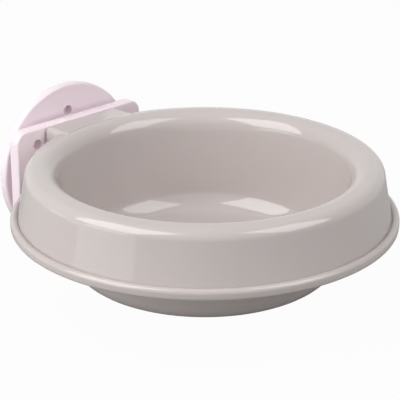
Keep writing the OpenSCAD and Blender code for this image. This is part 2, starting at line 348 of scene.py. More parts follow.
def plastic(name, colour, roughness, mottle, grain):
    """Moulded plastic: flow marks in its colour, a fine skin, and faint rubbed patches."""
    material = bpy.data.materials.new(name)
    material.use_nodes = True
    nodes, links = material.node_tree.nodes, material.node_tree.links
    shader = nodes["Principled BSDF"]
    shader.inputs["IOR"].default_value = PLASTIC_IOR
    place = nodes.new("ShaderNodeTexCoord").outputs["Object"]

    def noise(scale, detail, distortion=0.0):
        node = nodes.new("ShaderNodeTexNoise")
        node.inputs["Scale"].default_value = scale
        node.inputs["Detail"].default_value = detail
        node.inputs["Distortion"].default_value = distortion
        links.new(place, node.inputs["Vector"])
        return node.outputs["Fac"]

    def mapped(value, span, ends):
        """The value, stretched so that the span's two levels become the two ends."""
        node = nodes.new("ShaderNodeMapRange")
        for label, number in zip(("From Min", "From Max", "To Min", "To Max"), span + ends):
            node.inputs[label].default_value = number
        links.new(value, node.inputs["Value"])
        return node.outputs[0]

    flow = nodes.new("ShaderNodeMix")
    flow.data_type = "RGBA"
    flow.inputs["A"].default_value = [part * (1 - mottle) for part in colour[:3]] + [1]
    flow.inputs["B"].default_value = [part * (1 + mottle) for part in colour[:3]] + [1]
    marks = mapped(noise(FLOW_SCALE, FLOW_DETAIL, FLOW_BEND), FLOW_SPAN, (0, 1))
    links.new(marks, flow.inputs["Factor"])
    links.new(flow.outputs["Result"], shader.inputs["Base Color"])
    rubbed = tuple(roughness * share for share in PATCH_ROUGHNESS)
    links.new(mapped(noise(PATCH_SCALE, PATCH_DETAIL), PATCH_SPAN, rubbed), shader.inputs["Roughness"])

    skin = nodes.new("ShaderNodeBump")
    skin.inputs["Strength"].default_value = grain
    skin.inputs["Distance"].default_value = SKIN_DEPTH * MM
    links.new(noise(SKIN_SCALE, SKIN_DETAIL), skin.inputs["Height"])
    links.new(skin.outputs[0], shader.inputs["Normal"])
    return material


STEEL_COLOUR = srgb(186, 189, 194)
STEEL_GRAIN_SCALE, STEEL_GRAIN_DETAIL = 900, 3
STEEL_ROUGHNESS = (0.22, 0.42)


def plated_steel():
    """Bright zinc plating with a fine drawn texture."""
    material = bpy.data.materials.new("zinc_plated_steel")
    material.use_nodes = True
    nodes, links = material.node_tree.nodes, material.node_tree.links
    shader = nodes["Principled BSDF"]
    shader.inputs["Base Color"].default_value = STEEL_COLOUR
    shader.inputs["Metallic"].default_value = 1.0
    place = nodes.new("ShaderNodeTexCoord").outputs["Object"]
    grain = nodes.new("ShaderNodeTexNoise")
    grain.inputs["Scale"].default_value = STEEL_GRAIN_SCALE
    grain.inputs["Detail"].default_value = STEEL_GRAIN_DETAIL
    links.new(place, grain.inputs["Vector"])
    level = nodes.new("ShaderNodeMapRange")
    for label, number in zip(("To Min", "To Max"), STEEL_ROUGHNESS):
        level.inputs[label].default_value = number
    links.new(grain.outputs["Fac"], level.inputs["Value"])
    links.new(level.outputs[0], shader.inputs["Roughness"])
    return material


CUP_PLASTIC = plastic("cup_gloss_plastic", srgb(197, 188, 185), roughness=0.035, mottle=0.010, grain=0.05)
BRACKET_PLASTIC = plastic("bracket_satin_plastic", srgb(248, 233, 240), roughness=0.25, mottle=0.014,
                          grain=0.14)
SCREW_STEEL = plated_steel()


# Node trees

class Tree:
    """A geometry node group that takes a geometry and named sizes, and gives back a geometry."""

    def __init__(self, name, inputs):
        self.group = bpy.data.node_groups.new(name, "GeometryNodeTree")
        face = self.group.interface
        face.new_socket("Geometry", in_out="INPUT", socket_type="NodeSocketGeometry")
        for label, kind in inputs:
            face.new_socket(label, in_out="INPUT", socket_type="NodeSocket" + kind)
        face.new_socket("Material", in_out="INPUT", socket_type="NodeSocketMaterial")
        face.new_socket("Geometry", in_out="OUTPUT", socket_type="NodeSocketGeometry")
        self.given = self.group.nodes.new("NodeGroupInput").outputs

    def node(self, kind, links=None, **settings):
        """Adds a node. links gives values or sockets for its inputs, by name or number."""
        made = self.group.nodes.new(kind)
        for key, value in settings.items():
            setattr(made, key, value)
        for key, value in (links or {}).items():
            if isinstance(value, bpy.types.NodeSocket):
                self.group.links.new(value, made.inputs[key])
            else:
                made.inputs[key].default_value = value
        return made

    def math(self, operation, first, second=0.0):
        """The result of one sum on two values or sockets."""
        return self.node("ShaderNodeMath", {0: first, 1: second}, operation=operation).outputs[0]

    def unit_grid(self, rows, columns):
        """A flat grid of points, one wide and one deep, to be bent into a surface."""
        grid = self.node("GeometryNodeMeshGrid", {"Size X": 1.0, "Size Y": 1.0, "Vertices X": rows,
                                                  "Vertices Y": columns})
        return grid.outputs["Mesh"]

    def bent(self, grid, place, weld):
        """The grid with its points at new places, and those that meet there joined."""
        moved = self.node("GeometryNodeSetPosition", {"Geometry": grid, "Position": place}).outputs[0]
        welded = self.node("GeometryNodeMergeByDistance", {"Geometry": moved, "Distance": weld})
        return welded.outputs[0]

    def finish(self, geometry):
        """Ends the tree: instances made real, and the material on every face."""
        real = self.node("GeometryNodeRealizeInstances", {"Geometry": geometry}).outputs[0]
        material = self.given["Material"]
        dressed = self.node("GeometryNodeSetMaterial", {"Geometry": real, "Material": material})
        self.node("NodeGroupOutput", {0: dressed.outputs[0]})

    def apply_to(self, obj, **values):
        """Runs the tree on an object and returns the result as a plain mesh object."""
        modifier = obj.modifiers.new(self.group.name, "NODES")
        modifier.node_group = self.group
        identifiers = {
            item.name: item.identifier
            for item in self.group.interface.items_tree
            if item.item_type == "SOCKET" and item.in_out == "INPUT"
        }
        for label, value in values.items():
            modifier[identifiers[label]] = value
        plain(obj)
        one_material(obj.data, values["Material"])
        return obj


def new_object(name, mesh):
    """A mesh object in the scene."""
    obj = bpy.data.objects.new(name, mesh)
    bpy.context.scene.collection.objects.link(obj)
    return obj


def one_material(mesh, material):
    """Leaves the mesh with that material alone, on all of its faces."""
    mesh.materials.clear()
    mesh.materials.append(material)
    mesh.polygons.foreach_set("material_index", [0] * len(mesh.polygons))


def plain(obj):
    """The object's evaluated mesh takes the place of its mesh, and its modifiers go."""
    evaluated = obj.evaluated_get(bpy.context.evaluated_depsgraph_get())
    mesh = bpy.data.meshes.new_from_object(evaluated)
    mesh.name = obj.name
    obj.modifiers.clear()
    obj.data = mesh


def turned_tree():
    """Turns the input's points, read as [radius, -, height] in their order, about the Z axis."""
    tree = Tree("turned", [("Start", "Float"), ("Sweep", "Float"), ("Steps", "Int"), ("Weld", "Float")])
    profile = tree.given["Geometry"]
    count = tree.node("GeometryNodeAttributeDomainSize", {0: profile}).outputs["Point Count"]
    columns = tree.math("ADD", tree.given["Steps"], 1)
    grid = tree.unit_grid(count, columns)
    place = tree.node("GeometryNodeInputPosition").outputs[0]
    split = tree.node("ShaderNodeSeparateXYZ", {0: place}).outputs
    row = tree.math("MULTIPLY", tree.math("ADD", split["X"], 0.5), tree.math("SUBTRACT", count, 1))
    index = tree.math("ROUND", row)
    sample = tree.node("GeometryNodeSampleIndex", {0: profile}, data_type="FLOAT_VECTOR",
                       domain="POINT")
    tree.group.links.new(place, sample.inputs["Value"])
    tree.group.links.new(index, sample.inputs["Index"])
    point = tree.node("ShaderNodeSeparateXYZ", {0: sample.outputs[0]}).outputs
    share = tree.math("ADD", split["Y"], 0.5)
    angle = tree.math("ADD", tree.given["Start"], tree.math("MULTIPLY", tree.given["Sweep"], share))
    across = tree.math("MULTIPLY", point["X"], tree.math("SINE", angle))
    along = tree.math("MULTIPLY", point["X"], tree.math("COSINE", angle))
    turned = tree.node("ShaderNodeCombineXYZ", {0: across, 1: along, 2: point["Z"]}).outputs[0]
    tree.finish(tree.bent(grid, turned, tree.given["Weld"]))
    return tree


def drilled_tree():
    """Cuts another object's shape out of the input, once at each point of a third object."""
    tree = Tree("drilled", [("Centres", "Object"), ("Drill", "Object")])
    given = tree.given
    centres, drill = (tree.node("GeometryNodeObjectInfo", {"Object": given[name]}).outputs["Geometry"]
                      for name in ("Centres", "Drill"))
    holes = tree.node("GeometryNodeInstanceOnPoints", {"Points": centres, "Instance": drill})
    real = tree.node("GeometryNodeRealizeInstances", {"Geometry": holes.outputs[0]}).outputs[0]
    cut = tree.node("GeometryNodeMeshBoolean", {"Mesh 1": given["Geometry"]}, operation="DIFFERENCE",
                    solver="EXACT")
    tree.group.links.new(real, cut.inputs["Mesh 2"])
    tree.finish(cut.outputs["Mesh"])
    return tree


def threaded_tree():
    """A rod along Z with a helical thread, from a grid whose radius follows the helix. Its tip is
    tapered, and both ends are open."""
    lengths = ("Radius", "Pitch", "Depth", "Low", "High", "Taper")
    tree = Tree("threaded", [(name, "Float") for name in lengths] + [("Sides", "Int"), ("Rings", "Int")])
    given = tree.given
    grid = tree.unit_grid(given["Rings"], tree.math("ADD", given["Sides"], 1))
    place = tree.node("GeometryNodeInputPosition").outputs[0]
    split = tree.node("ShaderNodeSeparateXYZ", {0: place}).outputs
    length = tree.math("SUBTRACT", given["High"], given["Low"])
    along_rod = tree.math("MULTIPLY", length, tree.math("ADD", split["X"], 0.5))
    height = tree.math("ADD", given["Low"], along_rod)
    turn = tree.math("ADD", split["Y"], 0.5)
    phase = tree.math("ADD", tree.math("DIVIDE", height, given["Pitch"]), turn)
    wave = tree.math("MULTIPLY", tree.math("PINGPONG", phase, 0.5), 2.0)
    steep = tree.math("MULTIPLY", wave, THREAD_STEEP)
    crest = tree.node("ShaderNodeClamp", {"Value": tree.math("SUBTRACT", steep, THREAD_FLAT)})
    cut = tree.math("MULTIPLY", given["Depth"], tree.math("SUBTRACT", 1.0, crest.outputs[0]))
    to_end = tree.math("SUBTRACT", given["High"], height)
    limit = tree.math("ADD", tree.math("SUBTRACT", given["Radius"], given["Taper"]), to_end)
    radius = tree.math("MINIMUM", tree.math("SUBTRACT", given["Radius"], cut), limit)
    angle = tree.math("MULTIPLY", turn, 2 * math.pi)
    across = tree.math("MULTIPLY", radius, tree.math("COSINE", angle))
    along = tree.math("MULTIPLY", radius, tree.math("SINE", angle))
    helix = tree.node("ShaderNodeCombineXYZ", {0: across, 1: along, 2: height}).outputs[0]
    tree.finish(tree.bent(grid, helix, WELD * MM))
    return tree


TURNED = turned_tree()
DRILLED = drilled_tree()
THREADED = threaded_tree()


# Outlines and small mesh tools

def arc(centre, radius, start, end, steps):
    """Points on an arc about a centre, with angles in degrees."""
    turns = [math.radians(start + (end - start) * i / steps) for i in range(steps + 1)]
    return [Vector(centre) + radius * Vector((math.cos(t), math.sin(t))) for t in turns]


def bend(start, knee, end, steps):
    """Points on a curve from start to end that leans towards knee."""
    shares = [i / steps for i in range(steps + 1)]
    return [(1 - t) ** 2 * start + 2 * t * (1 - t) * knee + t * t * end for t in shares]


def spaced(points, steps):
    """New points at even steps along a line of points, without its first one."""
    lengths = [0.0]
    for first, second in zip(points, points[1:]):
        lengths.append(lengths[-1] + (second - first).length)
    made, k = [], 0
    for i in range(1, steps + 1):
        goal = lengths[-1] * i / steps
        while k < len(points) - 2 and lengths[k + 1] < goal:
            k += 1
        step = lengths[k + 1] - lengths[k]
        share = (goal - lengths[k]) / step if step > 0 else 0.0
        made.append(points[k].lerp(points[k + 1], share))
    return made


def profile_object(name, points):
    """An object whose points, in their order, are a half section for the turned tree."""
    mesh = bpy.data.meshes.new(name)
    mesh.from_pydata([(r * MM, 0, z * MM) for r, z in points], [], [])
    return new_object(name, mesh)


def tidy_mesh(mesh, sharp=35.0):
    """Welds doubles, turns faces outwards and shades smooth up to a sharp angle."""
    bm = bmesh.new()
    bm.from_mesh(mesh)
    bmesh.ops.remove_doubles(bm, verts=bm.verts, dist=WELD * MM)
    bmesh.ops.dissolve_degenerate(bm, edges=bm.edges, dist=WELD * MM)
    bmesh.ops.recalc_face_normals(bm, faces=bm.faces)
    bm.to_mesh(mesh)
    bm.free()
    mesh.shade_smooth()
    mesh.set_sharp_from_angle(angle=math.radians(sharp))


def turned(name, points, material, steps=TURN_STEPS, start=0.0, sweep=2 * math.pi):
    """A piece turned about Z, all round or over a sweep, from [radius, height] points."""
    return TURNED.apply_to(profile_object(name, points), Start=start, Sweep=sweep, Steps=steps,
                           Weld=WELD * MM, Material=material)


def along_y(obj, offset):
    """Lays a piece that was made about Z along the clamp axis, with its base at that Y."""
    for vertex in obj.data.vertices:
        x, y, z = vertex.co
        vertex.co = (x, z + offset * MM, -y)


def joined(name, parts):
    """One mesh object made of several, with the first one's material."""
    bm = bmesh.new()
    for part in parts:
        bm.from_mesh(part.data)
    mesh = bpy.data.meshes.new(name)
    bm.to_mesh(mesh)
    bm.free()
    mesh.materials.append(parts[0].data.materials[0])
    for part in parts:
        bpy.data.objects.remove(part)
    return new_object(name, mesh)


def combined(obj, other, operation):
    """Joins the object with a solid, cuts the solid away or keeps only what lies in both. The solid
    is dropped."""
    modifier = obj.modifiers.new(operation, "BOOLEAN")
    modifier.operation = operation
    modifier.solver = "EXACT"
    modifier.object = other
    plain(obj)
    bpy.data.objects.remove(other)


def rounded_edges(obj, width, segments, angle=40.0):
    """Rounds every edge of the object that is sharper than the angle."""
    modifier = obj.modifiers.new("rounded", "BEVEL")
    modifier.width = width * MM
    modifier.segments = segments
    modifier.limit_method = "ANGLE"
    modifier.angle_limit = math.radians(angle)
    modifier.use_clamp_overlap = True
    plain(obj)


def prism(name, outline, place, material):
    """A closed solid between two copies of a flat outline. place turns an outline point and a
    side, 0 or 1, into millimetres."""
    count = len(outline)
    points = [Vector(place(p, side)) * MM for side in (0, 1) for p in outline]
    faces = [list(range(count))[::-1], list(range(count, 2 * count))]
    for i in range(count):
        k = (i + 1) % count
        faces.append([i, k, count + k, count + i])
    mesh = bpy.data.meshes.new(name)
    mesh.from_pydata(points, [], faces)
    mesh.materials.append(material)
    tidy_mesh(mesh)
    return new_object(name, mesh)


# Cup

RIM_C = Vector((LIP_R - LIP_LEDGE - SKIRT_SPREAD - RIM_ROUND, RIM_TOP - RIM_DROP - RIM_ROUND))


def on_rim(degrees):
    """The point of the rim's outer rounding at that angle."""
    turn = math.radians(degrees)
    return RIM_C + RIM_ROUND * Vector((math.cos(turn), math.sin(turn)))


FLOOR_Z = BASE_Z + FOOT_H + FLOOR_T
MOUTH_C = Vector((RIM_C.x - RIM_W, RIM_TOP - MOUTH_ROUND))
RIM_STEP = RIM_C - MOUTH_C
RIM_SLOPE = math.degrees(math.atan2(-RIM_STEP.y, RIM_STEP.x)
                         + math.asin((MOUTH_ROUND - RIM_ROUND) / RIM_STEP.length))
LEAN = math.radians(BOWL_LEAN)
INNER_REACH = MOUTH_C.x * math.cos(LEAN) - MOUTH_C.y * math.sin(LEAN) - MOUTH_ROUND
OUTER_REACH = INNER_REACH + WALL
LIP_C = Vector((LIP_R - LIP_CREST_ROUND, LIP_CREST - LIP_CREST_ROUND))
SKIRT_FOOT = Vector((LIP_R - LIP_LEDGE, LIP_CREASE_Z))
SKIRT_START = on_rim(SKIRT_LEAN)
SKIRT_DOWN = Vector((math.tan(math.radians(SKIRT_LEAN)), -1))
SKIRT_KNEE = SKIRT_START + (SKIRT_START.y - SKIRT_FOOT.y) / 2 * SKIRT_DOWN
SEAM_Z = RIM_TOP - TAB_ROUND
SEAM_TURN = math.degrees(math.asin((SEAM_Z - RIM_C.y) / RIM_ROUND))

# Steps of each stretch of the section. The tab has the same as the ring, so that the two join.
FLOOR_STEPS, WALL_STEPS, ROUND_STEPS = 8, 10, 12
SLOPE_STEPS, CROWN_STEPS, RIM_STEPS = 3, 4, 5
SKIRT_STEPS = (5, 4, 12, 9, 7, 3)
CREASE_STEPS = 3
CHANNEL_STEPS = (2, 3, 10, 3, 5)
ROOF_STEPS = 8
FOOT_STEPS = (2, 3, 2)

# Steps of curves that are then spaced anew, and where the skirt's curve is split
CURVE_STEPS, LIP_ARC_STEPS, RIM_ARC_STEPS, EDGE_ARC_STEPS = 24, 16, 12, 8
SKIRT_SPLIT = 4

# Shares of the channel's roof and of the foot's slope that their rounded corners take
ROOF_CORNER, FOOT_CORNER = 0.2, 0.4


def foot_centre(reach, radius, z):
    """Centre of a rounding that stands on height z and touches the bowl's leaning wall."""
    return Vector(((reach - radius + (z + radius) * math.sin(LEAN)) / math.cos(LEAN), z + radius))


def ring_section():
    """The cup's section away from the tab as [radius, height], in five stretches: inside, crown of
    the rim, skirt down to the lip, channel under the rim, and underside of the bowl."""
    fillet_c = foot_centre(INNER_REACH, BOWL_FILLET, FLOOR_Z)
    base_c = foot_centre(OUTER_REACH, BASE_ROUND, BASE_Z)
    floor = [Vector((0, FLOOR_Z)), Vector((fillet_c.x, FLOOR_Z))]
    fillet = arc(fillet_c, BOWL_FILLET, -90, -BOWL_LEAN, ROUND_STEPS)
    mouth = arc(MOUTH_C, MOUTH_ROUND, 180 - BOWL_LEAN, 90, ROUND_STEPS)
    inside = (floor[:1] + spaced(floor, FLOOR_STEPS) + fillet[1:]
              + spaced([fillet[-1], mouth[0]], WALL_STEPS) + mouth[1:])

    slope_start = arc(MOUTH_C, MOUTH_ROUND, 90, 90 - RIM_SLOPE, SLOPE_STEPS)
    outer = arc(RIM_C, RIM_ROUND, 90 - RIM_SLOPE, SEAM_TURN, RIM_STEPS)
    crown = slope_start[1:] + spaced([slope_start[-1], outer[0]], CROWN_STEPS) + outer[1:]

    under_seam = arc(RIM_C, RIM_ROUND, SEAM_TURN, SKIRT_LEAN, RIM_ARC_STEPS)
    curve = bend(SKIRT_START, SKIRT_KNEE, SKIRT_FOOT, CURVE_STEPS)
    lip_crest = arc(LIP_C, LIP_CREST_ROUND, 90 + LIP_DIP, 0, LIP_ARC_STEPS)
    crease = bend(curve[-2], SKIRT_FOOT, lip_crest[0], CREASE_STEPS)
    lip_low = Vector((LIP_R - LIP_ROUND, LIP_BOTTOM))
    lip_foot = Vector((SKIRT_FOOT.x - WALL, LIP_BOTTOM))
    lip_edge = arc((lip_low.x, LIP_BOTTOM + LIP_ROUND), LIP_ROUND, 0, -90, LIP_ARC_STEPS)
    skirt = (spaced(under_seam, SKIRT_STEPS[0])
             + spaced(curve[:SKIRT_SPLIT + 1], SKIRT_STEPS[1])
             + spaced(curve[SKIRT_SPLIT:-1], SKIRT_STEPS[2] - CREASE_STEPS) + crease[1:]
             + spaced(lip_crest, SKIRT_STEPS[3])
             + spaced(lip_crest[-1:] + lip_edge, SKIRT_STEPS[4])
             + spaced([lip_low, lip_low - Vector((CUP_EDGE, 0))], SKIRT_STEPS[5]))

    back = [p - Vector((WALL, 0)) for p in reversed(curve)]
    under_rim = arc(MOUTH_C, MOUTH_ROUND - WALL, 90 - RIM_SLOPE, 180 - BOWL_LEAN, ROOF_STEPS)
    roof = [back[-1], under_rim[0]]
    corner = back[-3:] + [roof[0].lerp(roof[1], ROOF_CORNER)]
    foot_edge = arc(lip_foot + Vector((CUP_EDGE, CUP_EDGE)), CUP_EDGE, -90, -180, EDGE_ARC_STEPS)
    channel = (spaced([skirt[-1], lip_foot + Vector((CUP_EDGE, 0))], CHANNEL_STEPS[0])
               + spaced(foot_edge, CHANNEL_STEPS[1])
               + spaced(back[:-2], CHANNEL_STEPS[2])
               + spaced(corner, CHANNEL_STEPS[3])
               + spaced([corner[-1], roof[1]], CHANNEL_STEPS[4]))

    base = arc(base_c, BASE_ROUND, -BOWL_LEAN, -90, ROUND_STEPS)
    foot_in = Vector((base_c.x - FOOT_W, BASE_Z))
    foot_out = foot_in + Vector((CUP_EDGE, 0))
    ledge = Vector((foot_in.x - FOOT_H, BASE_Z + FOOT_H))
    slope = foot_in.lerp(ledge, FOOT_CORNER)
    underside = (under_rim[1:] + spaced([under_rim[-1], base[0]], WALL_STEPS) + base[1:]
                 + spaced([base[-1], foot_out], FOOT_STEPS[0])
                 + bend(foot_out, foot_in, slope, FOOT_STEPS[1])[1:]
                 + spaced([slope, ledge], FOOT_STEPS[2])
                 + spaced([ledge, Vector((0, ledge.y))], FLOOR_STEPS))
    return inside, crown, skirt, channel, underside


def on_circle(radius, x, z):
    """The point of a circle about the cup's axis that lies on the tab's side, at that X."""
    return Vector((x, math.sqrt(max(radius * radius - x * x, 0)), z))


def at_turn(radius, turn, z):
    """The point at that angle about the cup's axis, from the tab's middle."""
    return Vector((radius * math.sin(turn), radius * math.cos(turn), z))


def tab_top(x):
    """Height of the tab's top at that X, with its rounded long edges."""
    over = min(max(x - (TAB_HALF - TAB_ROUND), 0.0), TAB_ROUND)
    return SEAM_Z + math.sqrt(max(TAB_ROUND ** 2 - over * over, 0.0))


def smooth_max(first, second, width):
    """The larger of two values, with the step between them rounded over that width."""
    near = max(width - abs(first - second), 0.0) / width
    return max(first, second) + near * near * width / 4


def tab_skirt(x_top, x_end, y_end):
    """The tab's outside at one column, from the seam row over the top edge and down its end."""
    top, end_top = tab_top(x_top), tab_top(x_end)
    foot = -TAB_DROP
    start = on_circle(on_rim(SEAM_TURN).x, x_top, top)
    edge_in = Vector((x_top, y_end - CUP_EDGE, top))
    edge_out = Vector((x_end, y_end, end_top - CUP_EDGE))
    knee = Vector(((x_top + x_end) / 2, y_end, (top + end_top) / 2))
    heights = (SKIRT_FOOT.y, LIP_C.y - CUP_EDGE, foot + CUP_EDGE)
    marks = [edge_out] + [Vector((x_end, y_end, z)) for z in heights]
    rows = spaced([start, edge_in], SKIRT_STEPS[0])
    rows += bend(edge_in, knee, edge_out, SKIRT_STEPS[1])[1:]
    for upper, lower, steps in zip(marks, marks[1:], SKIRT_STEPS[2:]):
        rows += spaced([upper, lower], steps)
    foot_edge = Vector((x_end, y_end, foot))
    foot_in = Vector((x_end, y_end - CUP_EDGE, foot))
    return rows + bend(marks[-1], foot_edge, foot_in, SKIRT_STEPS[5])[1:]


def tab_channel(x, y_end, y_foot, y_roof, roof, last):
    """The tab's inside at one column, from its foot up to the roof and back to the bowl."""
    foot = -TAB_DROP
    low = Vector((x, y_foot, foot))
    high = Vector((x, y_roof, roof))
    up = (high - low).normalized() * CUP_EDGE
    out = Vector((0, CUP_EDGE, 0))
    rows = spaced([Vector((x, y_end - CUP_EDGE, foot)), low + out], CHANNEL_STEPS[0])
    rows += bend(low + out, low, low + up, CHANNEL_STEPS[1])[1:]
    rows += spaced([low + up, high - up], CHANNEL_STEPS[2])
    rows += bend(high - up, high, high - out, CHANNEL_STEPS[3])[1:]
    return rows + spaced([high - out, last], CHANNEL_STEPS[4])


# Columns over the tab's flat top and its rounded edge, then back along its side, round the seam and on
# to the turn at which the plain ring begins
TAB_FLAT_COLUMNS, TAB_ROUND_COLUMNS = 9, 9
SLIDE_COLUMNS, BLEND_COLUMNS, LEAD_COLUMNS = 4, 6, 3
RING_TURN = math.radians(20.0)


def tab_columns(section):
    """Columns of points from the tab's middle to where the plain ring begins, each from the floor's
    centre over the rim and back under the bowl."""
    inside, crown, skirt, channel, underside = section
    crest_r = inside[-1].x
    columns = []

    def column(x_top, x_end, y_end, x_in, pocket):
        """Adds a column, with its places on the tab's top, on its end and inside it."""
        turn = math.asin(x_top / crest_r)
        rows = [at_turn(r, turn, z) for r, z in inside]
        rows += [on_circle(r, x_top, smooth_max(z, tab_top(x_top), TAB_BLEND)) for r, z in crown]
        rows += tab_skirt(x_top, x_end, y_end)
        roof_r, roof_z = channel[-CHANNEL_STEPS[4] - 1]
        last = at_turn(channel[-1].x, turn, channel[-1].y)
        if pocket:
            y_in = TAB_REACH - TAB_WALL
            rows += tab_channel(x_in, TAB_REACH, y_in, y_in, RIM_TOP - WALL, last)
        else:
            y_roof = on_circle(roof_r, x_in, 0).y - CUP_EDGE
            rows += tab_channel(x_in, y_end, TAB_REACH - TAB_FOOT, y_roof, roof_z, last)
        rows += [at_turn(r, turn, z) for r, z in underside]
        columns.append(rows)

    # The flat top over the pocket, the pocket's side wall, and the rounded long edge. The tab's end
    # turns its own upright corner over the last third of the edge's columns.
    inner, flat = TAB_HALF - TAB_WALL, TAB_HALF - TAB_ROUND
    for i in range(TAB_FLAT_COLUMNS):
        x = inner * i / (TAB_FLAT_COLUMNS - 1)
        column(x, x, TAB_REACH, x, True)
    column(inner, inner, TAB_REACH, inner, False)
    for i in range(TAB_ROUND_COLUMNS + 1):
        share = i / TAB_ROUND_COLUMNS
        x_top = flat + TAB_ROUND * math.sin(share * math.pi / 2)
        corner = max(share * 3 - 2, 0) * math.pi / 2
        x_end = min(flat + (TAB_ROUND - CUP_EDGE) * share * 1.5, TAB_HALF - CUP_EDGE)
        x_end += CUP_EDGE * math.sin(corner)
        y_end = TAB_REACH - CUP_EDGE * (1 - math.cos(corner))
        column(x_top, x_end, y_end, x_end, False)

    # From the tab's side to the plain ring
    last = columns[-1]
    names = ("in", "crown", "skirt", "channel", "under")
    bands = [name for name, part in zip(names, section) for point in part]
    ring = [point for part in section for point in part]
    paths = []
    for band, tab_point, (r, z) in zip(bands, last, ring):
        if band in ("in", "under", "crown"):
            start = math.atan2(tab_point.x, tab_point.y) if r > 0 else 0.0
            steps = BLEND_COLUMNS + LEAD_COLUMNS
            path = [tab_point] * SLIDE_COLUMNS
            for i in range(1, steps + 1):
                share = i / steps
                rise = (tab_point.z - z) * (1 - share) ** 2
                path.append(at_turn(r, start + (RING_TURN - start) * share, z + rise))
            paths.append(path)
            continue
        seam = on_circle(r, TAB_HALF, z)
        away = tab_point - seam
        width = min(TAB_SEAM, away.length * TAB_SEAM_SHARE) if band == "skirt" else 0.0
        near = seam + away.normalized() * width if away.length > 0 else seam
        turn = math.asin(TAB_HALF / r) + width / r
        path = spaced([tab_point, near], SLIDE_COLUMNS)
        path += bend(near, seam, at_turn(r, turn, z), BLEND_COLUMNS)[1:]
        for i in range(1, LEAD_COLUMNS + 1):
            path.append(at_turn(r, turn + (RING_TURN - turn) * i / LEAD_COLUMNS, z))
        paths.append(path)
    return columns + [list(points) for points in zip(*paths)]


def tab_sector(section, material):
    """The part of the cup that carries the tab, mirrored about its middle."""
    half = tab_columns(section)
    columns = [[Vector((-p.x, p.y, p.z)) for p in rows] for rows in reversed(half[1:])] + half
    rows = len(columns[0])
    points = [p * MM for column in columns for p in column]
    faces = [(a * rows + k, (a + 1) * rows + k, (a + 1) * rows + k + 1, a * rows + k + 1)
             for a in range(len(columns) - 1) for k in range(rows - 1)]
    mesh = bpy.data.meshes.new("tab_sector")
    mesh.from_pydata(points, [], faces)
    mesh.materials.append(material)
    return new_object("tab_sector", mesh)


def make_cup():
    """The cup in one shell: the plain ring, and the sector that carries the tab."""
    section = ring_section()
    profile = [point for part in section for point in part]
    ring = turned("cup_ring", profile, CUP_PLASTIC, RING_STEPS, RING_TURN, 2 * math.pi - 2 * RING_TURN)
    cup = joined("seed_cup", [ring, tab_sector(section, CUP_PLASTIC)])
    for vertex in cup.data.vertices:
        vertex.co.y += CUP_Y * MM
    tidy_mesh(cup.data)
    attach(cup, "cup_body")
    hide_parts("cup")


# Bracket

PLATE_CORNER_STEPS, PLATE_EDGE_STEPS = 12, 4
HOOK_ARC_STEPS, HOOK_EDGE_STEPS = 10, 3


def rectangle_outline(half_w, half_h, corner, steps):
    """Points of a rectangle with round corners, about its centre."""
    outline = []
    for sx, sy, start in ((1, 1, 0), (-1, 1, 90), (-1, -1, 180), (1, -1, 270)):
        centre = (sx * (half_w - corner), sy * (half_h - corner))
        outline += arc(centre, corner, start, start + 90, steps)
    return outline


def hexagon_outline(flats):
    """Corners of a hexagon that is so wide across its flats."""
    radius = flats / 2 / math.cos(math.pi / 6)
    turns = [i * math.pi / 3 for i in range(6)]
    return [Vector((math.cos(turn), math.sin(turn))) * radius for turn in turns]


def hole_centres(points):
    """An object with a point at each hole's place."""
    mesh = bpy.data.meshes.new("hole_centres")
    mesh.from_pydata([(x * MM, y * MM, 0) for x, y in points], [], [])
    return new_object("hole_centres", mesh)


def small_drill(diameter, depth, edge, skin=0.0, inset=0.0):
    """A drill along Z for a hole with chamfers at both faces. Where a skin is given, it is two drills
    that leave that much between them, inset from the upper face."""
    r, half = diameter / 2, depth / 2
    top = half - inset
    lower = [(0, -half - edge), (r + 2 * edge, -half - edge), (r, -half + edge)]
    upper = [(r, half - edge), (r + 2 * edge, half + edge), (0, half + edge)]
    profiles = [lower + upper]
    if skin:
        profiles = [lower + [(r, top - skin), (0, top - skin)], [(0, top), (r, top)] + upper]
    parts = [turned("drill", profile, BRACKET_PLASTIC, HOLE_STEPS) for profile in profiles]
    for part in parts:
        tidy_mesh(part.data)
    return joined("small_drill", parts)


def drilled(obj, centres, drill):
    """Drills the object, which lies in the XY plane, at each centre, and drops the drill."""
    marks = hole_centres(centres)
    DRILLED.apply_to(obj, Centres=marks, Drill=drill, Material=obj.data.materials[0])
    for tool in (marks, drill):
        bpy.data.objects.remove(tool)


